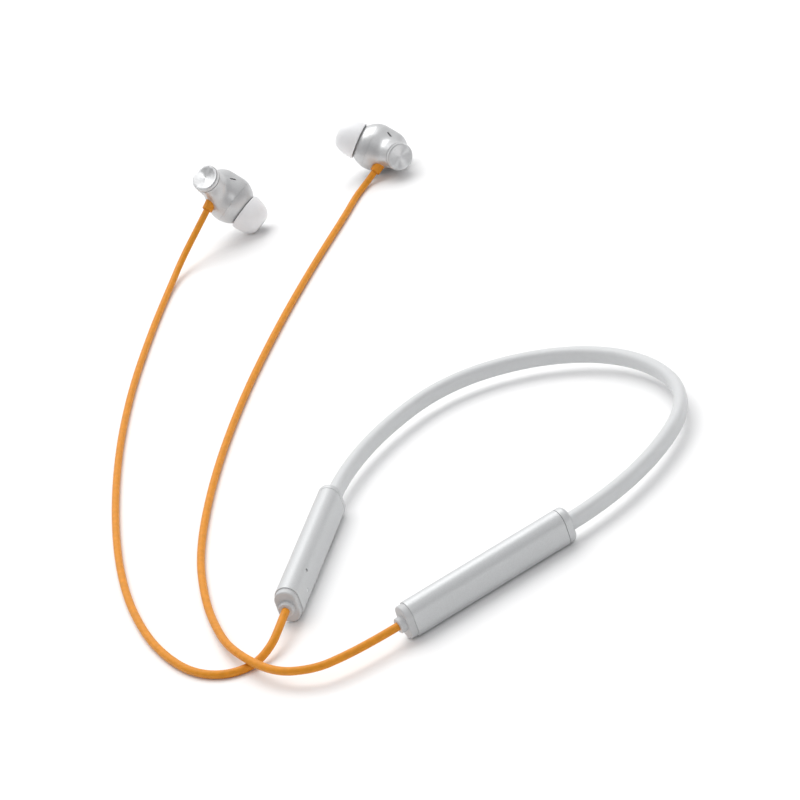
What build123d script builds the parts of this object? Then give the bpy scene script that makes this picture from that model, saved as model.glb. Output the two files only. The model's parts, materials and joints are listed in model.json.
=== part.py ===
from build123d import *
import math
import os

# Neckband earphones: a silicone neck strap with a battery pod on one end and a control pod on the
# other, and a cord from each pod to an in-ear bud. Millimetres, +Z up, lying on Z = 0.
# The origin is under the middle of the object's bounding box, taken without the two cords.

# ---------------------------------------------------------------- driving dimensions
neckband_x = 73.47            # the neckband's line of symmetry
neckband_y = -18.15           # height of the neckband's own origin in plan
apex_y = 21.2                # back of the neck, from the neckband's origin
strap_arcs = ((48.7, 37.6), (34.6, 40.7), (75.0, 34.7))   # radius, turn in degrees, from the apex
strap_width = 3.4
strap_height = 4.6
strap_rounding = 1.5
strap_in_pod = 4.0           # length of strap held inside each pod
bore_offset = 1.05           # wire above the strap's middle, harness below it
core_wire_diameter = 1.2
harness_diameter = 1.1
bore_clearance = 0.05
core_wire_in_pod = 6.5
harness_in_pod = 5.5

pod_length = 50.0
pod_width = 6.3
pod_height = 9.7
pod_wall = 0.75
end_cap_length = 1.7
end_cap_inset = 0.3          # the cap is this much smaller than the shell all round
neck_cap_length = 2.4
neck_cap_rounding = 1.3
seam = 0.15
plug_depth = 2.2             # spigots of the caps inside the shell
fit = 0.05                   # clearance of parts that sit in one another

grommet_diameter = 4.0
grommet_proud = 1.6
cord_diameter = 2.1

button_travel = 0.3
button_length = 5.6
button_height = 3.0
button_proud = 0.55
button_gap = 0.12
button_spacing = 7.4
play_button_y = 18.5

nozzle_angle = 125.0         # between the barrel's axis and the nozzle's
cord_angle = 76.0            # about the barrel, from the nozzle's side to the cord's
bulb_radius = 7.4
bulb_front = 7.9             # half length of the bulb towards the nozzle
lobe_radius = 5.9
lobe_front = (0.3, 2.3)      # centres of its two spheres: along the nozzle, and away from the cord
lobe_back = (-4.0, 1.8)
bud_wall = 0.8
barrel_diameter = 9.0
barrel_offset = -2.1         # barrel's axis from the bulb's centre
barrel_start = 2.0
barrel_end = 12.5
rear_cap_length = 1.6
nozzle_radius = 2.6
nozzle_bore = 1.7
nozzle_end = 11.2
shoulder = 6.3               # where the front shell steps down to the nozzle
split_plane = 1.6            # front and rear shells meet this far in front of the bulb's centre
rim_plane = 5.9              # open rim of the ear tip
tip_radius = 6.15
tip_length = 7.1
tip_wall = 0.55
boot_height = 5.5            # along the barrel
boot_start = 3.9             # from the barrel's axis
boot_end = 7.7
boot_radius = 1.75

# Where each bud lies: centre of its bulb, the way its barrel points and the way its nozzle points.
bud_poses = {
    "right": ((-82.63, 111.75, 7.95), (0.917, -0.396, 0.05), (-0.768, -0.255, 0.588)),
    "left": ((-111.03, 69.55, 11.92), (0.16, -0.556, 0.816), (0.644, 0.115, -0.757)),
}

# Corners of each cord's route, from its pod to its bud. The route starts at the grommet's face, and
# ends with a straight run of cord_leads along the axis of the bud's boot.
cord_leads = {"left": 6.0, "right": 3.1}
cord_routes = {
    "left": [
        (57.87, -124.75, 4.85), (58.87, -130.75, 2.9), (57.17, -136.65, 1.1), (52.07, -141.65, 1.05),
        (43.37, -142.95, 1.05), (32.27, -140.05, 1.05), (16.17, -131.95, 1.05), (-5.33, -115.75, 1.05),
        (-29.83, -91.15, 1.05), (-56.33, -59.05, 1.05), (-79.43, -25.65, 1.05), (-99.03, 8.25, 1.05),
        (-112.13, 33.35, 1.05), (-115.43, 45.05, 4.1),
    ],
    "right": [
        (88.87, -125.25, 4.85), (84.07, -132.35, 4.85), (76.57, -139.45, 5.2), (65.77, -143.95, 6.2),
        (49.77, -137.25, 6.2), (36.27, -126.95, 2.8), (22.27, -114.45, 1.05), (4.77, -95.15, 1.05),
        (-15.83, -63.15, 1.05), (-35.03, -25.95, 1.05), (-51.53, 13.05, 1.05), (-64.63, 49.05, 1.05),
        (-74.13, 78.65, 1.05), (-78.93, 91.85, 1.05), (-80.83, 97.85, 1.06),
    ],
}

os.makedirs("parts", exist_ok=True)
nodes = {}


def add(name, shape, place=Location()):
    """Keep a solid, or a group of solids, as one named sub-part."""
    nodes[name] = place * shape


# ---------------------------------------------------------------- neckband
def strap_centre_line(inside_pod):
    """Right pod to left pod round the back of the neck, reaching this far into both pods."""
    half = [JernArc((0, apex_y), (1, 0), strap_arcs[0][0], -strap_arcs[0][1])]
    for radius, turn in strap_arcs[1:]:
        half.append(JernArc(half[-1] @ 1, half[-1] % 1, radius, -turn))
    neck_end = half[-1] @ 1
    into_pod = half[-1] % 1
    first = Line(neck_end + into_pod * inside_pod, neck_end)
    edges = [first]
    turns = list(reversed(strap_arcs[1:])) + [(strap_arcs[0][0], 2 * strap_arcs[0][1])]
    for radius, turn in turns + list(strap_arcs[1:]):
        edges.append(JernArc(edges[-1] @ 1, edges[-1] % 1, radius, turn))
    edges.append(Line(edges[-1] @ 1, edges[-1] @ 1 + (edges[-1] % 1) * inside_pod))
    return Wire([edge.edge() for edge in edges]), neck_end


def across(path):
    """The plane across the start of a level path, with its Y axis upwards."""
    tangent = path % 0
    return Plane(origin=path @ 0, x_dir=Vector(0, 0, 1).cross(tangent), z_dir=tangent)


neckband = Location((neckband_x, neckband_y, pod_height / 2))
strap_path, neck_end = strap_centre_line(strap_in_pod)
wire_path, _ = strap_centre_line(core_wire_in_pod)
harness_path, _ = strap_centre_line(harness_in_pod)

wire_bore = Pos(0, bore_offset) * Circle(core_wire_diameter / 2 + bore_clearance)
harness_bore = Pos(0, -bore_offset) * Circle(harness_diameter / 2 + bore_clearance)
strap_section = RectangleRounded(strap_width, strap_height, strap_rounding) - wire_bore - harness_bore
wire_section = Pos(0, bore_offset) * Circle(core_wire_diameter / 2)
harness_section = Pos(0, -bore_offset) * Circle(harness_diameter / 2)
add("neckband_strap", sweep(across(strap_path) * strap_section, strap_path), neckband)
add("neckband_core_wire", sweep(across(wire_path) * wire_section, wire_path), neckband)
add("neckband_harness", sweep(across(harness_path) * harness_section, harness_path), neckband)

# ---------------------------------------------------------------- pods
# Pod frame: origin at the middle of the cable end, +Y along the pod to the strap, +Z up.
splay = sum(turn for _, turn in strap_arcs) - 90
pod_axis = Vector(math.sin(math.radians(splay)), math.cos(math.radians(splay)), 0)
cable_end = neck_end - pod_axis * pod_length
pod_places = {
    "battery": neckband * Location((cable_end.X, cable_end.Y, 0), (0, 0, -splay)),
    "control": neckband * Location((-cable_end.X, cable_end.Y, 0), (0, 0, splay)),
}
shell_start = end_cap_length + seam
shell_end = pod_length - neck_cap_length - seam


def across_pod(y):
    """The plane across a pod at a distance from its cable end, with +Y of the pod as its normal."""
    return Plane(origin=(0, y, 0), x_dir=(-1, 0, 0), z_dir=(0, 1, 0))


def oval(inset):
    """The pods' upright oval outline, drawn in by inset all round."""
    return Rot(0, 0, 90) * SlotOverall(pod_height - 2 * inset, pod_width - 2 * inset)


def oval_bar(y0, y1, inset):
    return extrude(across_pod(y0) * oval(inset), y1 - y0)


def rod_along_pod(y0, y1, radius, z=0.0):
    return extrude(across_pod(y0) * (Pos(0, z) * Circle(radius)), y1 - y0)


def block(x, y, z):
    """A box from its lowest and highest values along each axis."""
    size = (x[1] - x[0], y[1] - y[0], z[1] - z[0])
    middle = (sum(x) / 2, sum(y) / 2, sum(z) / 2)
    return Pos(middle) * Box(*size)


def pod_shell():
    return oval_bar(shell_start, shell_end, 0) - oval_bar(shell_start, shell_end, pod_wall)


def pod_end_cap():
    """Oval cap with a spigot that plugs the shell, bored for the cord's grommet."""
    face = oval_bar(0, shell_start, end_cap_inset)
    face = fillet(face.faces().sort_by(Axis.Y)[0].edges(), 0.45)
    spigot = oval_bar(shell_start, shell_start + plug_depth, pod_wall + fit)
    hollow = oval_bar(shell_start, shell_start + plug_depth, pod_wall + fit + 0.8)
    return face + (spigot - hollow) - rod_along_pod(-1, shell_start, grommet_diameter / 2 - 0.6)


def pod_neck_cap():
    """Rounded cap that the strap comes out of, with a spigot inside the shell."""
    face = oval_bar(shell_end + seam, pod_length, 0)
    face = fillet(face.faces().sort_by(Axis.Y)[-1].edges(), neck_cap_rounding)
    spigot = oval_bar(shell_end - plug_depth, shell_end + seam, pod_wall + fit)
    strap_hole = across_pod(shell_end - plug_depth) * RectangleRounded(
        strap_width + 2 * fit, strap_height + 2 * fit, strap_rounding)
    return face + spigot - extrude(strap_hole, plug_depth + seam + neck_cap_length)


def cord_grommet():
    """Flanged sleeve through the end cap, meeting the cord at its outer face."""
    sleeve = rod_along_pod(0, shell_start + 1.0, grommet_diameter / 2 - 0.65)
    collar = rod_along_pod(-grommet_proud, 0, grommet_diameter / 2)
    collar = fillet(collar.faces().sort_by(Axis.Y)[0].edges(), 0.35)
    bore = rod_along_pod(-grommet_proud + 1.0, shell_start + 1.0, 0.7)
    return collar + sleeve - bore


for pod, place in pod_places.items():
    add(f"{pod}_pod_end_cap", pod_end_cap(), place)
    add(f"{pod}_pod_neck_cap", pod_neck_cap(), place)
    add(f"{pod}_cord_grommet", cord_grommet(), place)

# ---------------------------------------------------------------- battery pod
battery = pod_places["battery"]
inner_x = pod_width / 2 - pod_wall
cell_start, cell_end = 12.0, 40.0
tray_floor = -3.6
add("battery_pod_shell", pod_shell(), battery)

tray_outline = oval_bar(4.2, 42.0, pod_wall + fit)
tray_hollow = block((-9, 9), (4.8, 41.4), (tray_floor + 0.5, 9))
tray_slots = block((-9, 9), (5.5, 40.5), (-2.2, 9))
add("battery_tray", tray_outline - tray_hollow - tray_slots, battery)
cell_box = block((-1.95, 1.95), (cell_start, cell_end), (tray_floor + 0.7, 3.1))
add("battery_cell", fillet(cell_box.edges().filter_by(Axis.Y), 0.9), battery)
add("battery_foam_pad", block((-1.4, 1.4), (cell_start + 2, cell_end - 2), (3.12, 3.5)), battery)
add("battery_protection_board", block((-0.4, 0.4), (6.0, 11.0), (-2.6, 2.8)), battery)
tabs = [block((-0.1, 0.1), (11.02, 11.98), (z - 0.6, z + 0.6)) for z in (-1.6, 1.6)]
add("battery_tabs", Compound(children=tabs), battery)

# ---------------------------------------------------------------- control pod
control = pod_places["control"]
button_ys = {
    "volume_up": play_button_y + button_spacing,
    "play": play_button_y,
    "volume_down": play_button_y - button_spacing,
}
board_back, board_front = 1.0, 0.3      # faces of the board, across the pod
switch_front = -0.9                     # the switches stand on the board's outer face
plunger_front = -1.3
port_y = 36.0                           # middle of the charging port
port_length, port_width = 9.0, 3.2
port_depth = 7.0
port_z = -pod_height / 2 + 0.35         # mouth of the port, just inside the lower edge
mic_y, mic_z = 12.2, 2.5
led_y, led_z = 8.1, -0.8


def pill(y, length, height, x0, x1):
    """A round-ended slab lying on the pod's side, from x0 to x1 across the pod."""
    side = Plane(origin=(x0, y, 0), x_dir=(0, 1, 0), z_dir=(1, 0, 0))
    return extrude(side * SlotOverall(length, height), x1 - x0)


def port_slab(margin, z0, z1):
    face = Plane(origin=(0, port_y, z0), x_dir=(0, 1, 0), z_dir=(0, 0, 1))
    outline = RectangleRounded(port_length + 2 * margin, port_width + 2 * margin, 1.3 + margin)
    return extrude(face * outline, z1 - z0)


def rod_across(y, z, radius, x0, x1):
    side = Plane(origin=(x0, y, z), x_dir=(0, 1, 0), z_dir=(1, 0, 0))
    return extrude(side * Circle(radius), x1 - x0)


outer_face = -pod_width / 2
inner_face = pod_width / 2
shell = pod_shell()
for y in button_ys.values():
    opening = pill(y, button_length + 2 * button_gap, button_height + 2 * button_gap, -9, 0)
    shell -= opening
shell -= port_slab(0.1, -9, 0)
shell -= rod_across(mic_y, mic_z, 0.45, 0, 9)
shell -= rod_across(led_y, led_z, 0.55, 0, 9)
add("control_pod_shell", shell, control)

frame_end = port_y - port_length / 2 - 0.5
frame = oval_bar(4.2, frame_end, pod_wall + fit)
frame -= block((-9, board_back + 0.05), (4.8, frame_end - 0.6), (-9, 9))
frame -= block((0, 9), (mic_y - 1.5, mic_y + 1.5), (mic_z - 1.5, 9))
frame -= rod_across(led_y, led_z, 1.2, 0, 9)
add("control_pod_frame", frame, control)

add("control_board", block((board_front, board_back), (6.0, frame_end - 0.7), (-3.3, 3.3)), control)
chips = [
    block((board_front - 0.8, board_front), (7.0, 10.4), (1.7, 3.2)),
    block((board_front - 0.6, board_front), (17.0, 19.4), (-3.1, -1.7)),
    block((board_front - 0.7, board_front), (21.0, 23.6), (1.8, 3.2)),
    block((board_front - 0.5, board_front), (13.8, 15.4), (-3.0, -1.9)),
]
add("control_board_chips", Compound(children=chips), control)
add("bluetooth_antenna", block((board_front - 0.9, board_front), (6.2, 7.6), (-3.1, 1.2)), control)

switch_bodies = []
for name, y in button_ys.items():
    body = block((switch_front, board_front), (y - 1.9, y + 1.9), (-1.5, 1.5))
    switch_bodies.append(body - rod_across(y, 0, 0.85, -9, board_front - 0.2))
    plunger = rod_across(y, 0, 0.8, plunger_front, board_front - 0.2 - button_travel - 0.05)
    add(f"{name}_switch_plunger", plunger, control)
    cap = pill(y, button_length, button_height, outer_face - button_proud, outer_face + pod_wall - 0.05)
    cap = fillet(cap.faces().sort_by(Axis.X)[0].edges(), 0.3)
    flange_start = outer_face + pod_wall + 0.02
    flange = pill(y, button_length + 1.0, button_height + 1.0, flange_start, flange_start + 0.35)
    neck = pill(y, button_length, button_height, outer_face + pod_wall - 0.05, flange_start)
    stem = rod_across(y, 0, 0.9, flange_start + 0.35, plunger_front)
    add(f"{name}_button", cap + neck + flange + stem, control)
add("switch_bodies", Compound(children=switch_bodies), control)

add("microphone", block((board_back, board_back + 0.55), (mic_y - 1.3, mic_y + 1.3), (1.4, 3.1)), control)
mesh_disc = rod_across(mic_y, mic_z, 0.55, board_back + 0.6, board_back + 0.75)
add("microphone_mesh", mesh_disc, control)
add("status_led", block((board_back, board_back + 0.5), (led_y - 0.5, led_y + 0.5), (led_z - 0.4, led_z + 0.4)),
    control)
lens = rod_across(led_y, led_z, 0.5, board_back + 0.55, inner_face - 0.05)
add("status_led_lens", lens, control)

port_shell = port_slab(-0.05, port_z, port_z + port_depth)
port_hollow = port_slab(-0.3, port_z, port_z + port_depth - 0.6)
add("usb_c_shell", port_shell - port_hollow, control)
tongue_box = block((-0.35, 0.35), (port_y - 3.3, port_y + 3.3), (port_z + 1.0, port_z + port_depth - 0.6))
add("usb_c_tongue", tongue_box, control)

# ---------------------------------------------------------------- earbuds
# Bud frame: origin at the bulb's centre, +Z along the barrel to its capped end, and the nozzle
# in the XZ plane on the +X side. The two buds mirror each other: side is +1 or -1 along Y.
nozzle_dir = Vector(math.sin(math.radians(nozzle_angle)), 0, math.cos(math.radians(nozzle_angle)))
nozzle_plane = Plane(origin=(0, 0, 0), x_dir=(0, 1, 0), z_dir=nozzle_dir)


def cord_dir(side):
    angle = math.radians(cord_angle)
    return Vector(math.cos(angle), side * math.sin(angle), 0)


def turned(profile):
    """A solid of revolution about the nozzle's axis; the profile is drawn as (radius, distance)."""
    return nozzle_plane.location * revolve(Plane.XZ * profile, Axis.Z)


def ring(inner, outer, t0, t1):
    return turned(Pos((inner + outer) / 2, (t0 + t1) / 2) * Rectangle(outer - inner, t1 - t0))


def disc(radius, t0, t1):
    return turned(Pos(radius / 2, (t0 + t1) / 2) * Rectangle(radius, t1 - t0))


def egg(inset, t0, t1):
    """The egg-shaped front of the bulb between two distances along the nozzle's axis."""
    radius = bulb_radius - inset
    band = Pos(radius / 2, (t0 + t1) / 2) * Rectangle(radius, t1 - t0)
    return turned(Ellipse(radius, bulb_front - inset) & band)


def slab(t0, t1):
    """Everything between two planes across the nozzle's axis."""
    return nozzle_plane.location * (Pos(0, 0, (t0 + t1) / 2) * Box(60, 60, t1 - t0))


def lobe(side, inset):
    """The bulb's long rounded bulge opposite the cord, as two spheres drawn in by inset."""
    front = nozzle_dir * lobe_front[0] - cord_dir(side) * lobe_front[1]
    back = nozzle_dir * lobe_back[0] - cord_dir(side) * lobe_back[1]
    return Pos(front) * Sphere(lobe_radius - inset) + Pos(back) * Sphere(lobe_radius - inset)


def front_volume(side, inset, end):
    """The bulb in front of its parting plane, up to this distance along the nozzle's axis."""
    return egg(inset, split_plane, end) + (lobe(side, inset) & slab(split_plane, end))


def rear_volume(side, inset):
    """The bulb behind its parting plane and the barrel, drawn in by inset."""
    bulb = (Sphere(bulb_radius - inset) + lobe(side, inset)) & slab(-40, split_plane)
    barrel_length = barrel_end - barrel_start
    barrel = Pos(barrel_offset, 0, barrel_start + barrel_length / 2) * Cylinder(
        barrel_diameter / 2 - inset, barrel_length)
    return bulb + barrel


def make_bud(name, side, place):
    front = front_volume(side, 0, shoulder) - front_volume(side, bud_wall, shoulder - bud_wall)
    front += ring(4.9, bulb_radius - 0.6, 2.5, 3.0)
    front += ring(nozzle_bore, nozzle_radius, shoulder - 0.1, nozzle_end)
    front += ring(nozzle_bore, nozzle_radius + 0.15, nozzle_end - 0.9, nozzle_end - 0.3)
    front -= disc(nozzle_bore, shoulder - 2, nozzle_end + 1)
    front -= disc(nozzle_bore + 0.45, nozzle_end - 0.35, nozzle_end + 1)
    add(f"{name}_bud_front_shell", front, place)
    add(f"{name}_nozzle_mesh", disc(nozzle_bore + 0.4, nozzle_end - 0.35, nozzle_end - 0.2), place)

    boot_plane = Plane(origin=(barrel_offset, 0, boot_height), x_dir=(0, 0, 1), z_dir=cord_dir(side))
    vent_plane = Plane(
        origin=(0.3, -side * 5.6, 5.55), x_dir=(-0.408, side * 0.436, 0.753), z_dir=(0.33, -side * 0.73, 0.6))
    outer = rear_volume(side, 0)
    rear = outer - rear_volume(side, bud_wall)
    rear -= boot_plane.location * (Pos(0, 0, 6) * Cylinder(boot_radius - 0.45, 12))
    rear -= vent_plane.location * extrude(SlotOverall(2.0, 0.6), 2.5, both=True)
    add(f"{name}_bud_rear_shell", rear, place)
    mesh_plane = vent_plane.offset(-1.73)
    add(f"{name}_vent_mesh", mesh_plane.location * extrude(SlotOverall(2.6, 1.1), 0.15), place)

    cap_middle = barrel_end + rear_cap_length / 2
    cap = Pos(barrel_offset, 0, cap_middle) * Cylinder(barrel_diameter / 2, rear_cap_length)
    cap = chamfer(cap.faces().sort_by(Axis.Z)[-1].edges(), 0.35)
    dish_radius = 30.0
    dish = Pos(barrel_offset, 0, barrel_end + rear_cap_length + dish_radius - 0.22) * Sphere(dish_radius)
    spigot = Pos(barrel_offset, 0, barrel_end - 0.5) * Cylinder(barrel_diameter / 2 - bud_wall - fit, 1.0)
    add(f"{name}_rear_cap", cap - dish + spigot, place)
    magnet = Pos(barrel_offset, 0, barrel_end - 2.05) * Cylinder(3.2, 2.0)
    add(f"{name}_holding_magnet", magnet, place)

    driver_wall = ring(5.25, 5.6, -2.1, 2.5)
    driver_floor = ring(0.8, 5.6, -2.4, -2.1)
    add(f"{name}_driver_frame", driver_wall + driver_floor, place)
    add(f"{name}_driver_magnet", ring(0.5, 2.2, -2.1, -0.3), place)
    add(f"{name}_driver_diaphragm", ring(0.01, 5.0, 1.0, 1.12) + ring(2.5, 2.8, -1.2, 1.0), place)

    boot_length = boot_end - boot_start
    boot = Pos(0, 0, boot_start + boot_length / 2) * Cylinder(boot_radius, boot_length)
    boot = fillet(boot.faces().sort_by(Axis.Z)[-1].edges(), 0.5)
    tail = Pos(0, 0, 3.8) * Cylinder(boot_radius - 0.5, 3.2)
    boot = boot_plane.location * boot - outer + boot_plane.location * tail
    add(f"{name}_cord_boot", boot, place)
    add(f"{name}_ear_tip", ear_tip(), place)
    start = place * Pos(boot_plane.location.position)
    along = (place * Pos(boot_plane.location.position + cord_dir(side))).position - start.position
    return start.position + along * boot_end, along


def ear_tip():
    """Mushroom of soft silicone: a dome, open at its rim, on a sleeve that fits the nozzle."""
    front = rim_plane + tip_length
    sleeve_inner = nozzle_radius + 0.25
    sleeve_outer = sleeve_inner + 0.7
    crown_radius = 2.4
    dome_radius = tip_radius - crown_radius
    quarter = Pos(crown_radius + tip_radius / 2, rim_plane + front / 2) * Rectangle(tip_radius, front)
    outside = Pos(crown_radius, rim_plane) * Ellipse(dome_radius, tip_length)
    inside = Pos(crown_radius, rim_plane) * Ellipse(dome_radius - tip_wall, tip_length - tip_wall)
    skirt = (outside - inside) & quarter
    sleeve_start = rim_plane + 1.2
    sleeve = Pos((sleeve_inner + sleeve_outer) / 2, (sleeve_start + front) / 2) * Rectangle(
        sleeve_outer - sleeve_inner, front - sleeve_start)
    within = Pos(crown_radius, rim_plane) * Ellipse(dome_radius - 0.02, tip_length - 0.02)
    crown = Pos((1.9 + sleeve_outer) / 2, front - tip_wall) * Rectangle(sleeve_outer - 1.9, 2 * tip_wall)
    return turned(skirt + (sleeve & within) + (crown & within))


cord_ends = {}
for name, side in (("right", 1), ("left", -1)):
    centre, barrel_dir, nozzle_dir_world = bud_poses[name]
    barrel_vector = Vector(*barrel_dir).normalized()
    nozzle_vector = Vector(*nozzle_dir_world)
    sideways = nozzle_vector - barrel_vector * nozzle_vector.dot(barrel_vector)
    place = Plane(origin=centre, x_dir=sideways, z_dir=barrel_vector).location
    cord_ends[name] = make_bud(name, side, place)


# ---------------------------------------------------------------- cords
def cord_path(route):
    """Straight runs joined by arcs, each as large as the two runs beside it allow."""
    points = [Vector(*point) for point in route]
    radii = []
    for before, corner, after in zip(points, points[1:], points[2:]):
        turn = math.radians((corner - before).get_angle(after - corner))
        shorter = min((corner - before).length, (after - corner).length)
        radii.append(0.45 * shorter / math.tan(turn / 2))
    return FilletPolyline(*points, radius=radii), radii


cord_pods = {"left": "control", "right": "battery"}
for name, pod in cord_pods.items():
    exit_point = (pod_places[pod] * Pos(0, -grommet_proud, 0)).position
    end_point, end_dir = cord_ends[name]
    before_end = end_point + end_dir * cord_leads[name]
    route = [exit_point] + [Vector(*point) for point in cord_routes[name]] + [before_end, end_point]
    path, radii = cord_path(route)
    start = Plane(origin=path @ 0, z_dir=path % 0)
    cord = sweep(start * Circle(cord_diameter / 2), path)
    add(f"{name}_cord", cord)
    section = math.pi * cord_diameter ** 2 / 4
    print(f"{name}_cord length {path.length:.1f}, volume ratio {cord.volume / section / path.length:.4f}")
    print("  radii", [round(radius, 1) for radius in radii])
    print("  runs", [round((b - a).length, 1) for a, b in zip(route, route[1:])])
    print("  ends", exit_point, end_point, end_dir)

# ---------------------------------------------------------------- output
solids = [shape for name, shape in nodes.items() if not name.endswith("_cord")]
box = Compound(children=[Compound(list(shape.solids())) for shape in solids]).bounding_box()
print("box without cords", box.min, box.max, "middle", (box.min + box.max) / 2)
for name, shape in nodes.items():
    export_step(shape, f"parts/{name}.step")
print(len(nodes), "nodes")
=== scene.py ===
import json
import math

import bmesh
import bpy
import numpy as np
from mathutils import Matrix, Vector


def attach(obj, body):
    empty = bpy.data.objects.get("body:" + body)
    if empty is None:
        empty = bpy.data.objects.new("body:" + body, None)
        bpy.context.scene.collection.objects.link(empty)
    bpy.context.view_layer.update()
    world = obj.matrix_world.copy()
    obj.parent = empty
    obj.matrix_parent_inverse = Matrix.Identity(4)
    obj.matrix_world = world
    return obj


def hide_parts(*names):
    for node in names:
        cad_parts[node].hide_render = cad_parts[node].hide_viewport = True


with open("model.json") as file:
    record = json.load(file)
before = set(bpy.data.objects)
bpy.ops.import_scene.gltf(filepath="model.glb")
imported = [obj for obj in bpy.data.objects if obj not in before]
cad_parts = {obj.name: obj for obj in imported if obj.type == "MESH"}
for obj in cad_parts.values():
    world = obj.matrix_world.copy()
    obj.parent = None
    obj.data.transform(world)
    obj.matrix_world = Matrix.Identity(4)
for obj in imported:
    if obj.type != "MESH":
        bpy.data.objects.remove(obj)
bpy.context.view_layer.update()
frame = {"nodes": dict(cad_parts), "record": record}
MM = 0.001
ROOT = "neckband"


# ---------------------------------------------------------------- camera
def camera(target, azimuth, elevation, distance, lens, roll):
    """A camera that looks at target; roll leans the world's up to the left of the picture."""
    azimuth, elevation, roll = map(math.radians, (azimuth, elevation, roll))
    heading = Vector((-math.sin(azimuth), math.cos(azimuth), 0))
    look = heading * math.cos(elevation) - Vector((0, 0, 1)) * math.sin(elevation)
    level_right = look.cross(Vector((0, 0, 1))).normalized()
    level_up = level_right.cross(look)
    right = level_right * math.cos(roll) - level_up * math.sin(roll)
    up = level_right * math.sin(roll) + level_up * math.cos(roll)
    data = bpy.data.cameras.new("camera")
    data.lens = lens
    data.sensor_width = 36
    data.clip_start = 0.01
    data.clip_end = 50
    eye = bpy.data.objects.new("camera", data)
    turn = Matrix((right, up, -look)).transposed().to_4x4()
    eye.matrix_world = Matrix.Translation(target - look * distance) @ turn
    bpy.context.collection.objects.link(eye)
    bpy.context.scene.camera = eye


camera(target=Vector((0.01767, -0.01815, 0)), azimuth=44.6, elevation=26.56, distance=0.831, lens=134.6,
       roll=19.54)


# ---------------------------------------------------------------- materials
class Surface:
    """A Principled material and short ways to vary it."""

    def __init__(self, name, colour, roughness, metallic=0.0, **sockets):
        self.material = bpy.data.materials.new(name)
        self.material.use_nodes = True
        self.tree = self.material.node_tree
        self.shader = self.tree.nodes["Principled BSDF"]
        self.material.diffuse_color = (*colour, 1)
        self.colour = colour
        self.roughness = roughness
        values = {"Base Color": (*colour, 1), "Roughness": roughness, "Metallic": metallic}
        values.update({key.replace("_", " "): value for key, value in sockets.items()})
        for key, value in values.items():
            self.shader.inputs[key].default_value = value
        self.height = None

    def node(self, kind, settings=(), **inputs):
        node = self.tree.nodes.new(kind)
        for key, value in dict(settings).items():
            setattr(node, key, value)
        for key, value in inputs.items():
            socket = node.inputs[key.replace("_", " ")]
            if isinstance(value, bpy.types.NodeSocket):
                self.tree.links.new(value, socket)
            else:
                socket.default_value = value
        return node

    def coordinates(self, kind="Object", scale=(1, 1, 1)):
        source = self.node("ShaderNodeTexCoord").outputs[kind]
        mapping = self.node("ShaderNodeMapping", Vector=source)
        mapping.inputs["Scale"].default_value = scale
        return mapping.outputs["Vector"]

    def noise(self, size, detail=3.0, kind="Object", stretch=(1, 1, 1)):
        """Noise with features about size metres across."""
        where = self.coordinates(kind, [s / size for s in stretch])
        noise = self.node("ShaderNodeTexNoise", Vector=where, Scale=1.0, Detail=detail)
        return noise.outputs["Fac"]

    def span(self, factor, low, high):
        between = self.node("ShaderNodeMapRange", Value=factor)
        between.inputs["To Min"].default_value = low
        between.inputs["To Max"].default_value = high
        return between.outputs["Result"]

    def vary_roughness(self, factor, amount):
        low, high = self.roughness - amount, self.roughness + amount
        self.tree.links.new(self.span(factor, low, high), self.shader.inputs["Roughness"])

    def vary_colour(self, factor, low, high):
        ramp = self.node("ShaderNodeValToRGB", Fac=factor)
        ramp.color_ramp.elements[0].color = (*[c * low for c in self.colour], 1)
        ramp.color_ramp.elements[1].color = (*[min(c * high, 1) for c in self.colour], 1)
        ramp.color_ramp.elements[0].position = 0.3
        ramp.color_ramp.elements[1].position = 0.7
        self.tree.links.new(ramp.outputs["Color"], self.shader.inputs["Base Color"])

    def bump(self, height, strength, distance):
        bump = self.node("ShaderNodeBump", Height=height, Strength=strength, Distance=distance)
        if self.height is not None:
            self.tree.links.new(self.height, bump.inputs["Normal"])
        self.height = bump.outputs["Normal"]
        self.tree.links.new(self.height, self.shader.inputs["Normal"])


def satin_metal(name, colour, roughness=0.32, metallic=0.6):
    """Pearl silver coat: fine grain, with slow changes of sheen."""
    look = Surface(name, colour, roughness, metallic=metallic)
    look.vary_roughness(look.noise(0.006), 0.035)
    look.vary_colour(look.noise(0.00035, 2.0), 0.96, 1.03)
    look.bump(look.noise(0.0002, 2.0), 0.12, 0.00004)
    return look.material


def moulded_plastic(name, colour, roughness=0.45, grain=0.0003, **sockets):
    """Moulded plastic with a fine spark-eroded grain."""
    look = Surface(name, colour, roughness, **sockets)
    look.vary_roughness(look.noise(0.004), 0.05)
    look.vary_colour(look.noise(0.002), 0.97, 1.03)
    look.bump(look.noise(grain, 2.0), 0.15, 0.00003)
    return look.material


def silicone(name, colour, roughness=0.5, **sockets):
    """Soft silicone: powdery, with a little light passing through."""
    look = Surface(name, colour, roughness, Subsurface_Scale=0.002, **sockets)
    look.shader.inputs["Subsurface Radius"].default_value = (1.0, 0.95, 0.9)
    look.vary_roughness(look.noise(0.003), 0.05)
    look.vary_colour(look.noise(0.0015), 0.985, 1.01)
    look.bump(look.noise(0.00025, 2.0), 0.12, 0.00004)
    return look.material


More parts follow.
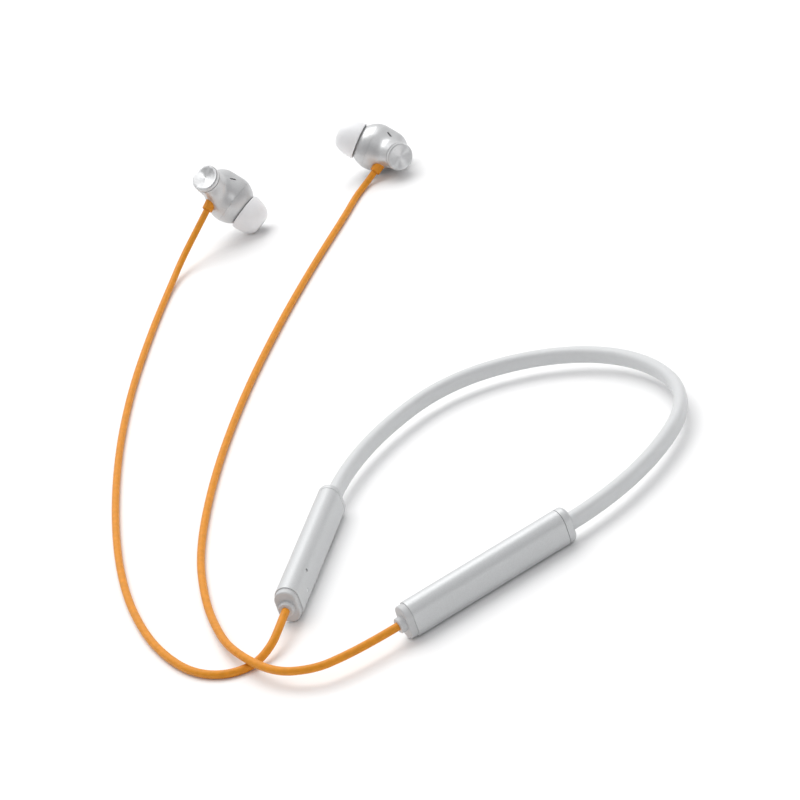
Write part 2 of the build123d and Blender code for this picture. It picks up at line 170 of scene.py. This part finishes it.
def ribbed_cord(name, colour, ribs):
    """Orange cord skin; UV runs in metres, u round the cord and v along it."""
    look = Surface(name, colour, 0.5, Coat_Weight=0.05, Coat_Roughness=0.3, Specular_IOR_Level=0.3)
    look.vary_colour(look.noise(0.0018, 3.0), 0.9, 1.06)
    look.vary_roughness(look.noise(0.002), 0.06)
    if ribs:
        where = look.coordinates("UV", (1, 1, 1))
        wave = look.node("ShaderNodeTexWave", {"bands_direction": "DIAGONAL"}, Vector=where, Scale=260.0,
                         Distortion=0.4, Detail=1.0)
        look.bump(wave.outputs["Fac"], 0.5, 0.00006)
    look.bump(look.noise(0.0003, 2.0), 0.2, 0.00003)
    return look.material


def turned_metal(name, colour):
    """Spun on a lathe: fine rings about the piece's own Z, and light that fans out across them."""
    look = Surface(name, colour, 0.42, metallic=1.0, Anisotropic=1.0)
    tangent = look.node("ShaderNodeTangent", {"direction_type": "RADIAL", "axis": "Z"})
    look.tree.links.new(tangent.outputs["Tangent"], look.shader.inputs["Tangent"])
    where = look.coordinates("Object")
    rings = look.node("ShaderNodeTexWave", {"wave_type": "RINGS", "rings_direction": "Z"}, Vector=where,
                      Scale=2600.0, Distortion=0.6, Detail=2.0)
    look.bump(rings.outputs["Fac"], 0.08, 0.00001)
    look.vary_colour(look.noise(0.0006, 3.0), 0.95, 1.04)
    return look.material


def drawn_metal(name, colour, roughness=0.3):
    look = Surface(name, colour, roughness, metallic=1.0)
    look.vary_roughness(look.noise(0.001, 3.0, stretch=(1, 6, 1)), 0.06)
    look.bump(look.noise(0.0004, 2.0, stretch=(1, 8, 1)), 0.1, 0.00002)
    return look.material


def fine_mesh(name, colour):
    """Woven wire mesh."""
    look = Surface(name, colour, 0.45, metallic=0.8)
    cells = look.node("ShaderNodeTexVoronoi", Vector=look.coordinates("Object", (1, 1, 1)), Scale=5200.0)
    look.vary_colour(cells.outputs["Distance"], 0.3, 1.6)
    look.bump(cells.outputs["Distance"], 0.6, 0.00005)
    return look.material


def clear_plastic(name, colour):
    look = Surface(name, colour, 0.18, Transmission_Weight=0.75, IOR=1.49)
    look.vary_roughness(look.noise(0.002), 0.05)
    return look.material


LOOKS = {
    "pod_metal": satin_metal("pod_metal", (0.60, 0.61, 0.615), 0.46, 0.35),
    "cap_plastic": moulded_plastic("cap_plastic", (0.56, 0.565, 0.57), 0.4),
    "strap_silicone": silicone("strap_silicone", (0.64, 0.65, 0.655), 0.5, Subsurface_Weight=0.15,
                               Sheen_Weight=0.15),
    "cord_orange": ribbed_cord("cord_orange", (0.74, 0.275, 0.012), True),
    "boot_orange": ribbed_cord("boot_orange", (0.76, 0.28, 0.015), False),
    "bud_metal": satin_metal("bud_metal", (0.60, 0.605, 0.61), 0.36, 0.55),
    "rear_cap_metal": turned_metal("rear_cap_metal", (0.72, 0.725, 0.73)),
    "tip_silicone": silicone("tip_silicone", (0.92, 0.92, 0.93), 0.4, Subsurface_Weight=0.2,
                             Coat_Weight=0.1, Coat_Roughness=0.3),
    "spring_wire": drawn_metal("spring_wire", (0.50, 0.50, 0.51)),
    "harness_sheath": moulded_plastic("harness_sheath", (0.02, 0.02, 0.022), 0.5),
    "cell_foil": drawn_metal("cell_foil", (0.60, 0.61, 0.63), 0.4),
    "foam_black": moulded_plastic("foam_black", (0.01, 0.01, 0.01), 0.9, 0.0006),
    "board_green": moulded_plastic("board_green", (0.01, 0.09, 0.03), 0.35),
    "chip_black": moulded_plastic("chip_black", (0.012, 0.012, 0.014), 0.5),
    "antenna_ceramic": moulded_plastic("antenna_ceramic", (0.65, 0.60, 0.50), 0.4),
    "nickel_tab": drawn_metal("nickel_tab", (0.62, 0.60, 0.56)),
    "inner_plastic": moulded_plastic("inner_plastic", (0.03, 0.03, 0.033), 0.5),
    "button_plastic": moulded_plastic("button_plastic", (0.45, 0.455, 0.465), 0.4),
    "switch_plastic": moulded_plastic("switch_plastic", (0.015, 0.015, 0.015), 0.5),
    "plunger_plastic": moulded_plastic("plunger_plastic", (0.45, 0.06, 0.03), 0.45),
    "steel_can": drawn_metal("steel_can", (0.56, 0.565, 0.57), 0.28),
    "fine_mesh": fine_mesh("fine_mesh", (0.10, 0.10, 0.105)),
    "led_body": moulded_plastic("led_body", (0.70, 0.70, 0.60), 0.3),
    "led_lens": moulded_plastic("led_lens", (0.72, 0.73, 0.74), 0.3),
    "port_black": moulded_plastic("port_black", (0.012, 0.012, 0.012), 0.45),
    "magnet_nickel": drawn_metal("magnet_nickel", (0.60, 0.58, 0.54), 0.15),
    "driver_plastic": moulded_plastic("driver_plastic", (0.015, 0.015, 0.016), 0.4),
    "diaphragm_film": clear_plastic("diaphragm_film", (0.45, 0.36, 0.22)),
}
for entry in frame["record"]["subparts"]:
    part = frame["nodes"][entry["node"]]
    for material_slot in part.material_slots:
        material_slot.material = LOOKS[entry["material_slot"]]


# ---------------------------------------------------------------- mesh helpers
def finish_mesh(name, mesh, matrix, slot, material=None, sharp_angle=35.0, body=ROOT):
    piece = bpy.data.objects.new(name, mesh)
    bpy.context.collection.objects.link(piece)
    piece.matrix_world = matrix
    mesh.shade_smooth()
    mesh.set_sharp_from_angle(angle=math.radians(sharp_angle))
    mesh.materials.clear()
    mesh.materials.append(LOOKS[material or slot])
    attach(piece, body)
    return piece


def lathe(name, profile, matrix, slot, segments=128, **settings):
    """Turns a profile of (radius, height) in mm about the local Z axis."""
    count = len(profile)
    angles = np.arange(segments) * 2 * math.pi / segments
    verts = [(r * math.cos(a) * MM, r * math.sin(a) * MM, h * MM) for a in angles for r, h in profile]
    faces = []
    for k in range(segments):
        here, there = k * count, ((k + 1) % segments) * count
        faces += [(here + i, there + i, there + i + 1, here + i + 1) for i in range(count - 1)]
    mesh = bpy.data.meshes.new(name)
    mesh.from_pydata(verts, [], faces)
    work = bmesh.new()
    work.from_mesh(mesh)
    bmesh.ops.remove_doubles(work, verts=work.verts, dist=1e-7)
    bmesh.ops.recalc_face_normals(work, faces=work.faces)
    work.to_mesh(mesh)
    work.free()
    return finish_mesh(name, mesh, matrix, slot, **settings)


def arc(centre, radii, start, end, steps):
    """Points of an elliptical arc; the angles are in degrees from the radius axis."""
    angles = np.radians(np.linspace(start, end, steps))
    return [(centre[0] + radii[0] * math.cos(a), centre[1] + radii[1] * math.sin(a)) for a in angles]


# ---------------------------------------------------------------- buds
BULB, BULB_FRONT, LOBE = 7.4, 7.9, 5.9
LOBE_FRONT, LOBE_BACK = (0.3, 2.3), (-4.0, 1.8)      # along the nozzle, and away from the cord
LOBE_FILLET, BARREL_FILLET = 0.9, 2.6                # how far the shapes run into each other
BARREL_START, WALL, CAP_FACE = 2.0, 0.7, 14.1
BARREL, BARREL_OFFSET, BARREL_END = 4.5, -2.1, 12.5
NOZZLE, NOZZLE_BORE, NOZZLE_END = 2.6, 1.7, 11.2
SPLIT, SHOULDER = 1.6, 6.3
SEAM, PARTING = 0.07, 0.02       # half the gaps at the rear cap and between the shells
RIM, TIP_RADIUS, TIP_LENGTH, TIP_WALL = 5.9, 6.15, 7.1, 0.55
BOOT_HEIGHT, BOOT_END, BOOT_RADIUS = 5.5, 7.7, 1.75
NOZZLE_TURN, CORD_TURN = math.radians(125.0), math.radians(76.0)
BUDS = {
    "right": ((-82.63, 111.75, 7.95), (0.917, -0.396, 0.05), (-0.768, -0.255, 0.588), 1),
    "left": ((-111.03, 69.55, 11.92), (0.16, -0.556, 0.816), (0.644, 0.115, -0.757), -1),
}
nozzle_local = Vector((math.sin(NOZZLE_TURN), 0, math.cos(NOZZLE_TURN)))


def frame_matrix(origin, z_axis, x_hint):
    z_axis = Vector(z_axis).normalized()
    x_axis = (Vector(x_hint) - z_axis * z_axis.dot(x_hint)).normalized()
    turn = Matrix((x_axis, z_axis.cross(x_axis), z_axis)).transposed().to_4x4()
    return Matrix.Translation(Vector(origin) * MM) @ turn


def smooth_union(a, b, reach):
    """Distance to the union of two shapes with a fillet of about that reach."""
    h = np.clip(0.5 + 0.5 * (b - a) / reach, 0, 1)
    return b * (1 - h) + a * h - reach * h * (1 - h)


def rear_distance(points, side):
    """Signed distance, in mm in the bud's frame, to bulb, lobe and barrel run together."""
    nozzle = np.array(nozzle_local)
    along = points @ nozzle
    across = np.linalg.norm(points - along[:, None] * nozzle, axis=1)
    scale = np.where(along > 0, BULB / BULB_FRONT, 1.0)
    bulb = np.hypot(across, along * scale) - BULB
    cord = np.array((math.cos(CORD_TURN), side * math.sin(CORD_TURN), 0))
    front, back = (nozzle * t - cord * out for t, out in (LOBE_FRONT, LOBE_BACK))
    share = np.clip((points - front) @ (back - front) / np.sum((back - front) ** 2), 0, 1)
    lobe = np.linalg.norm(points - front - share[:, None] * (back - front), axis=1) - LOBE
    radial = np.hypot(points[:, 0] - BARREL_OFFSET, points[:, 1]) - BARREL
    barrel = np.maximum(radial, BARREL_START - points[:, 2])
    return smooth_union(smooth_union(bulb, lobe, LOBE_FILLET), barrel, BARREL_FILLET)


def sphere_grid(cells):
    """Directions and quads of a cube blown up to a sphere."""
    work = bmesh.new()
    bmesh.ops.create_cube(work, size=2)
    bmesh.ops.subdivide_edges(work, edges=work.edges, cuts=cells - 1, use_grid_fill=True)
    points = np.array([v.co for v in work.verts])
    points = np.tan(points * math.pi / 4)
    work.verts.ensure_lookup_table()
    faces = [[v.index for v in f.verts] for f in work.faces]
    work.free()
    return points / np.linalg.norm(points, axis=1)[:, None], faces


def bud_skin(side, directions):
    """How far the skin lies from the bud's middle in each direction."""
    start, furthest, steps = 2.0, 24.0, 60
    reach = np.full(len(directions), start)
    for _ in range(steps):
        gap = rear_distance(directions * reach[:, None], side)
        reach = np.minimum(reach - 0.9 * gap, furthest)
    return reach


def plane_cut(work, point, normal):
    """Removes what lies beyond the plane."""
    geometry = work.verts[:] + work.edges[:] + work.faces[:]
    bmesh.ops.bisect_plane(work, geom=geometry, plane_co=point, plane_no=normal, clear_outer=True)


def slot_cutter(centre, normal, along, length, width, depth):
    """A round-ended bar through the skin, in the bud's frame."""
    work = bmesh.new()
    half = length / 2 - width / 2
    outline = arc((half, 0), (width / 2, width / 2), -90, 90, 12)
    outline += arc((-half, 0), (width / 2, width / 2), 90, 270, 12)
    verts = [work.verts.new((x * MM, y * MM, -depth * MM)) for x, y in outline]
    face = work.faces.new(verts)
    grown = bmesh.ops.extrude_face_region(work, geom=[face])
    top = [v for v in grown["geom"] if isinstance(v, bmesh.types.BMVert)]
    bmesh.ops.translate(work, vec=(0, 0, 2 * depth * MM), verts=top)
    bmesh.ops.recalc_face_normals(work, faces=work.faces)
    mesh = bpy.data.meshes.new("cutter")
    work.to_mesh(mesh)
    work.free()
    mesh.transform(frame_matrix(centre, normal, along))
    return mesh


def evaluated_mesh(piece):
    """The piece's mesh with its modifiers applied."""
    graph = bpy.context.evaluated_depsgraph_get()
    return bpy.data.meshes.new_from_object(piece.evaluated_get(graph))


def bud_skin_mesh(side, cuts):
    """The run-together skin in the bud's frame, cut by (point, normal) planes in mm."""
    directions, faces = sphere_grid(90)
    points = directions * bud_skin(side, directions)[:, None] * MM
    mesh = bpy.data.meshes.new("skin")
    mesh.from_pydata(points.tolist(), [], faces)
    work = bmesh.new()
    work.from_mesh(mesh)
    for point, normal in cuts:
        plane_cut(work, Vector(point) * MM, normal)
    bmesh.ops.recalc_face_normals(work, faces=work.faces)
    work.to_mesh(mesh)
    work.free()
    return mesh


def thickened(mesh, cutter=None):
    """A shell under the skin, with a slot cut through it if there is a cutter."""
    shell = bpy.data.objects.new("shell", mesh)
    bpy.context.collection.objects.link(shell)
    thick = shell.modifiers.new("thick", "SOLIDIFY")
    thick.thickness = WALL * MM
    thick.offset = -1
    if cutter:
        bpy.context.collection.objects.link(cutter)
        hole = shell.modifiers.new("hole", "BOOLEAN")
        hole.object = cutter
        hole.operation = "DIFFERENCE"
        hole.solver = "EXACT"
    built = evaluated_mesh(shell)
    bpy.data.objects.remove(shell)
    if cutter:
        bpy.data.objects.remove(cutter)
    return built


def bud_body(name, side, matrix):
    """Rear shell: bulb, lobe and barrel run together, open to the front shell and the rear cap."""
    cuts = [((0, 0, BARREL_END - SEAM), (0, 0, 1)), (nozzle_local * (SPLIT - PARTING), nozzle_local)]
    mesh = bud_skin_mesh(side, cuts)
    normal, along = (0.33, -side * 0.73, 0.6), (-0.408, side * 0.436, 0.753)
    vent = slot_cutter((0.3, -side * 5.6, 5.55), normal, along, length=2.2, width=0.65, depth=2.0)
    return finish_mesh(name, thickened(mesh, bpy.data.objects.new("cutter", vent)), matrix, "bud_metal")


def front_shell(name, side, matrix):
    """Front of the bulb, up to the shoulder under the ear tip."""
    cuts = [(nozzle_local * (SPLIT + PARTING), -nozzle_local), (nozzle_local * SHOULDER, nozzle_local)]
    return finish_mesh(name, thickened(bud_skin_mesh(side, cuts)), matrix, "bud_metal")


def nozzle_tube(name, matrix):
    """Shoulder, nozzle with its barb, and bore, turned about the nozzle's axis."""
    rim = BULB * math.sqrt(1 - (SHOULDER / BULB_FRONT) ** 2)
    profile = [(rim - 0.5, SHOULDER - 0.4), (rim - 0.02, SHOULDER - 0.1)]
    profile += arc((rim - 0.3, SHOULDER - 0.1), (0.28, 0.22), 20, 90, 5)
    profile += arc((NOZZLE + 0.35, SHOULDER + 0.47), (0.35, 0.35), -90, -180, 6)
    barb, recess = NOZZLE + 0.15, NOZZLE_BORE + 0.45
    profile += [(NOZZLE, NOZZLE_END - 1.1), (barb, NOZZLE_END - 0.85), (barb, NOZZLE_END - 0.45)]
    profile += [(NOZZLE - 0.02, NOZZLE_END - 0.2), (NOZZLE - 0.12, NOZZLE_END)]
    profile += [(NOZZLE_BORE + 0.5, NOZZLE_END)]
    profile += [(recess, NOZZLE_END - 0.05), (recess, NOZZLE_END - 0.36)]
    profile += [(NOZZLE_BORE, NOZZLE_END - 0.36), (NOZZLE_BORE, SHOULDER - 1)]
    return lathe(name, profile, matrix, "bud_metal")


def ear_tip(name, matrix, body):
    """Mushroom of silicone: a sleeve on the nozzle, and a dome folded back over it."""
    crown = 2.4
    dome = TIP_RADIUS - crown
    sleeve_in, sleeve_out, sleeve_start = NOZZLE + 0.25, NOZZLE + 0.95, RIM + 1.2
    top = RIM + TIP_LENGTH
    profile = [(sleeve_in, sleeve_start + 0.1), (sleeve_in, top - 1.5), (1.95, top - 1.1), (1.9, top - 0.45)]
    profile += arc((crown, top - 0.45), (0.5, 0.45), 180, 95, 7)
    profile += arc((crown, RIM), (dome, TIP_LENGTH), 88, 0, 48)
    profile += arc((TIP_RADIUS - TIP_WALL / 2, RIM), (TIP_WALL / 2, TIP_WALL / 2), -20, -180, 9)
    profile += arc((crown, RIM), (dome - TIP_WALL, TIP_LENGTH - TIP_WALL), 4, 66, 24)
    profile += [(sleeve_out, top - 1.3), (sleeve_out, sleeve_start + 0.25)]
    profile += arc((sleeve_out - 0.2, sleeve_start + 0.2), (0.2, 0.2), -20, -90, 4)
    profile += [(sleeve_in + 0.12, sleeve_start), profile[0]]
    return lathe(name, profile, matrix, "tip_silicone", body=body)


def rear_cap(name, matrix):
    """Spun disc: slightly dished, with a flat ring and a small bevel at its edge."""
    dish, dish_depth = 30.0, 0.22
    base, face = BARREL_END + SEAM, CAP_FACE
    dish_centre = face - dish_depth + dish
    profile = [(r, dish_centre - math.sqrt(dish * dish - r * r)) for r in np.linspace(0, 3.6, 20)]
    profile += [(3.75, face), (4.12, face), (4.2, face - 0.03)]
    profile += [(BARREL - 0.02, face - 0.32), (BARREL, face - 0.4), (BARREL, base + 0.14)]
    profile += [(BARREL - 0.04, base + 0.05), (BARREL - 0.13, base)]
    profile += [(BARREL - 0.85, base), (BARREL - 0.85, base - 0.6)]
    return lathe(name, profile, matrix, "rear_cap_metal", sharp_angle=12.0)


def cord_boot(name, matrix):
    """Orange sleeve that holds the cord where it enters the barrel."""
    r, end = BOOT_RADIUS, BOOT_END
    profile = [(r - 0.1, 3.0), (r + 0.03, 3.9), (r + 0.05, 4.6), (r, 5.0), (r - 0.03, end - 0.45)]
    profile += arc((r - 0.43, end - 0.4), (0.4, 0.4), 5, 90, 8)
    profile += [(1.2, end), (1.12, end - 0.06), (1.1, end - 0.3)]
    return lathe(name, profile, matrix, "cord_orange", material="boot_orange", segments=64)


for ear, (centre, barrel_dir, nozzle_dir, side) in BUDS.items():
    bud = frame_matrix(centre, barrel_dir, nozzle_dir)
    nozzle = bud @ frame_matrix((0, 0, 0), nozzle_local, (0, 1, 0))
    body = bud_body(f"{ear}_rear_shell", side, bud)
    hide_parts(f"{ear}_bud_rear_shell")
    front = front_shell(f"{ear}_front_shell", side, bud)
    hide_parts(f"{ear}_bud_front_shell")
    nozzle_tube(f"{ear}_nozzle", nozzle)
    tip = ear_tip(f"{ear}_silicone_tip", nozzle, f"{ear}_ear_tip")
    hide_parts(f"{ear}_ear_tip")
    cap = rear_cap(f"{ear}_turned_cap", bud @ Matrix.Translation((BARREL_OFFSET * MM, 0, 0)))
    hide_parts(f"{ear}_rear_cap")
    cord_dir = Vector((math.cos(CORD_TURN), side * math.sin(CORD_TURN), 0))
    boot_frame = bud @ frame_matrix((BARREL_OFFSET, 0, BOOT_HEIGHT), cord_dir, (0, 0, 1))
    boot = cord_boot(f"{ear}_boot", boot_frame)
    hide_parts(f"{ear}_cord_boot")

# ---------------------------------------------------------------- cords
CORD = 2.1
ROUTES = {
    "left": [
        (55.55, -119.47, 4.85), (57.87, -124.75, 4.85), (58.87, -130.75, 2.9), (57.17, -136.65, 1.1),
        (52.07, -141.65, 1.05), (43.37, -142.95, 1.05), (32.27, -140.05, 1.05), (16.17, -131.95, 1.05),
        (-5.33, -115.75, 1.05), (-29.83, -91.15, 1.05), (-56.33, -59.05, 1.05), (-79.43, -25.65, 1.05),
        (-99.03, 8.25, 1.05), (-112.13, 33.35, 1.05), (-115.43, 45.05, 4.1), (-114.38, 55.66, 9.85),
        (-113.36, 60.64, 13.05),
    ],
    "right": [
        (91.39, -119.47, 4.85), (88.87, -125.25, 4.85), (84.6, -132.9, 4.85), (79.6, -138.9, 4.7),
        (68.0, -141.5, 3.9), (49.9, -135.5, 3.45), (36.8, -126.6, 1.7), (22.3, -114.4, 1.05),
        (4.77, -95.15, 1.05), (-15.83, -63.15, 1.05), (-35.03, -25.95, 1.05), (-51.53, 13.05, 1.05),
        (-64.63, 49.05, 1.05), (-74.13, 78.65, 1.05), (-78.93, 91.85, 1.05), (-80.35, 97.85, 1.06),
        (-80.55, 101.88, 1.73), (-79.52, 104.45, 3.14),
    ],
}


def spline_points(name, route):
    """Points along the route's smooth line, read from its NURBS spline."""
    data = bpy.data.curves.new(name, "CURVE")
    data.dimensions = "3D"
    spline = data.splines.new("NURBS")
    spline.points.add(len(route) - 1)
    for point, where in zip(spline.points, route):
        point.co = (*[c * MM for c in where], 1)
    spline.order_u = 3
    spline.use_endpoint_u = True
    spline.resolution_u = 40
    line = bpy.data.objects.new(name, data)
    bpy.context.collection.objects.link(line)
    mesh = evaluated_mesh(line)
    bpy.data.objects.remove(line)
    return [v.co.copy() for v in mesh.vertices]


def tube(name, points, radius, sides=24):
    """A round tube about the points; its UV runs in metres, round it and along it."""
    tangents = [(points[min(i + 1, len(points) - 1)] - points[max(i - 1, 0)]).normalized()
                for i in range(len(points))]
    side = tangents[0].orthogonal().normalized()
    rings, along = [], [0.0]
    for i, (point, tangent) in enumerate(zip(points, tangents)):
        side = (side - tangent * side.dot(tangent)).normalized()
        other = tangent.cross(side)
        rings.append([point + (side * math.cos(a) + other * math.sin(a)) * radius
                      for a in np.arange(sides) * 2 * math.pi / sides])
        if i:
            along.append(along[-1] + (point - points[i - 1]).length)
    verts = [v for ring in rings for v in ring]
    faces, uvs = [], []
    around = 2 * math.pi * radius
    for i in range(len(points) - 1):
        for k in range(sides):
            n = (k + 1) % sides
            faces.append((i * sides + k, i * sides + n, (i + 1) * sides + n, (i + 1) * sides + k))
            u0, u1 = k / sides * around, (k + 1) / sides * around
            uvs += [(u0, along[i]), (u1, along[i]), (u1, along[i + 1]), (u0, along[i + 1])]
    faces.append(tuple(reversed(range(sides))))
    faces.append(tuple(range(len(verts) - sides, len(verts))))
    uvs += [(0.0, 0.0)] * (2 * sides)
    mesh = bpy.data.meshes.new(name)
    mesh.from_pydata(verts, [], faces)
    layer = mesh.uv_layers.new(name="UVMap")
    layer.data.foreach_set("uv", np.array(uvs).ravel())
    return finish_mesh(name, mesh, Matrix.Identity(4), "cord_orange"), along[-1]


for ear, route in ROUTES.items():
    points = spline_points(f"{ear}_line", route)
    cord, length = tube(f"{ear}_cord_skin", points, CORD / 2 * MM)
    print(ear, "cord length", round(length * 1000, 1))
    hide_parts(f"{ear}_cord")

# ---------------------------------------------------------------- stage
floor_mesh = bpy.data.meshes.new("floor")
floor_mesh.from_pydata([(-4, -4, 0), (4, -4, 0), (4, 4, 0), (-4, 4, 0)], [], [(0, 1, 2, 3)])
floor = bpy.data.objects.new("floor", floor_mesh)
floor.location.z = -0.00002
bpy.context.collection.objects.link(floor)
floor_look = Surface("floor_paper", (0.93, 0.93, 0.93), 0.8)
floor_look.vary_roughness(floor_look.noise(0.05), 0.05)
floor_mesh.materials.append(floor_look.material)


def softbox(name, azimuth, elevation, distance, size, power):
    """A white rectangular light aimed at the object's middle."""
    azimuth, elevation = math.radians(azimuth), math.radians(elevation)
    aim = Vector((math.sin(azimuth) * math.cos(elevation), -math.cos(azimuth) * math.cos(elevation),
                  math.sin(elevation)))
    data = bpy.data.lights.new(name, "AREA")
    data.shape = "RECTANGLE"
    data.size, data.size_y = size
    data.energy = power
    lamp = bpy.data.objects.new(name, data)
    lamp.matrix_world = Matrix.Translation(aim * distance) @ aim.to_track_quat("Z", "Y").to_matrix().to_4x4()
    bpy.context.collection.objects.link(lamp)


softbox("key", azimuth=232, elevation=62, distance=3.0, size=(2.8, 2.4), power=58)
softbox("fill", azimuth=62, elevation=40, distance=3.0, size=(0.9, 1.6), power=10)

world = bpy.data.worlds.new("studio")
world.use_nodes = True
bpy.context.scene.world = world
sky = world.node_tree
toward = sky.nodes.new("ShaderNodeVectorMath")
toward.operation = "DOT_PRODUCT"
sky.links.new(sky.nodes.new("ShaderNodeTexCoord").outputs["Generated"], toward.inputs[0])
toward.inputs[1].default_value = Vector((-0.5, 0.5, 0.7)).normalized()
shade = sky.nodes.new("ShaderNodeValToRGB")
shade.color_ramp.elements[0].position = 0.0
shade.color_ramp.elements[0].color = (0.42, 0.42, 0.43, 1)
shade.color_ramp.elements[1].position = 0.9
shade.color_ramp.elements[1].color = (1.05, 1.05, 1.05, 1)
sky.links.new(toward.outputs["Value"], shade.inputs["Fac"])
sky.links.new(shade.outputs["Color"], sky.nodes["Background"].inputs["Color"])
sky.nodes["Background"].inputs["Strength"].default_value = 0.85

bpy.context.scene.view_settings.view_transform = "Standard"
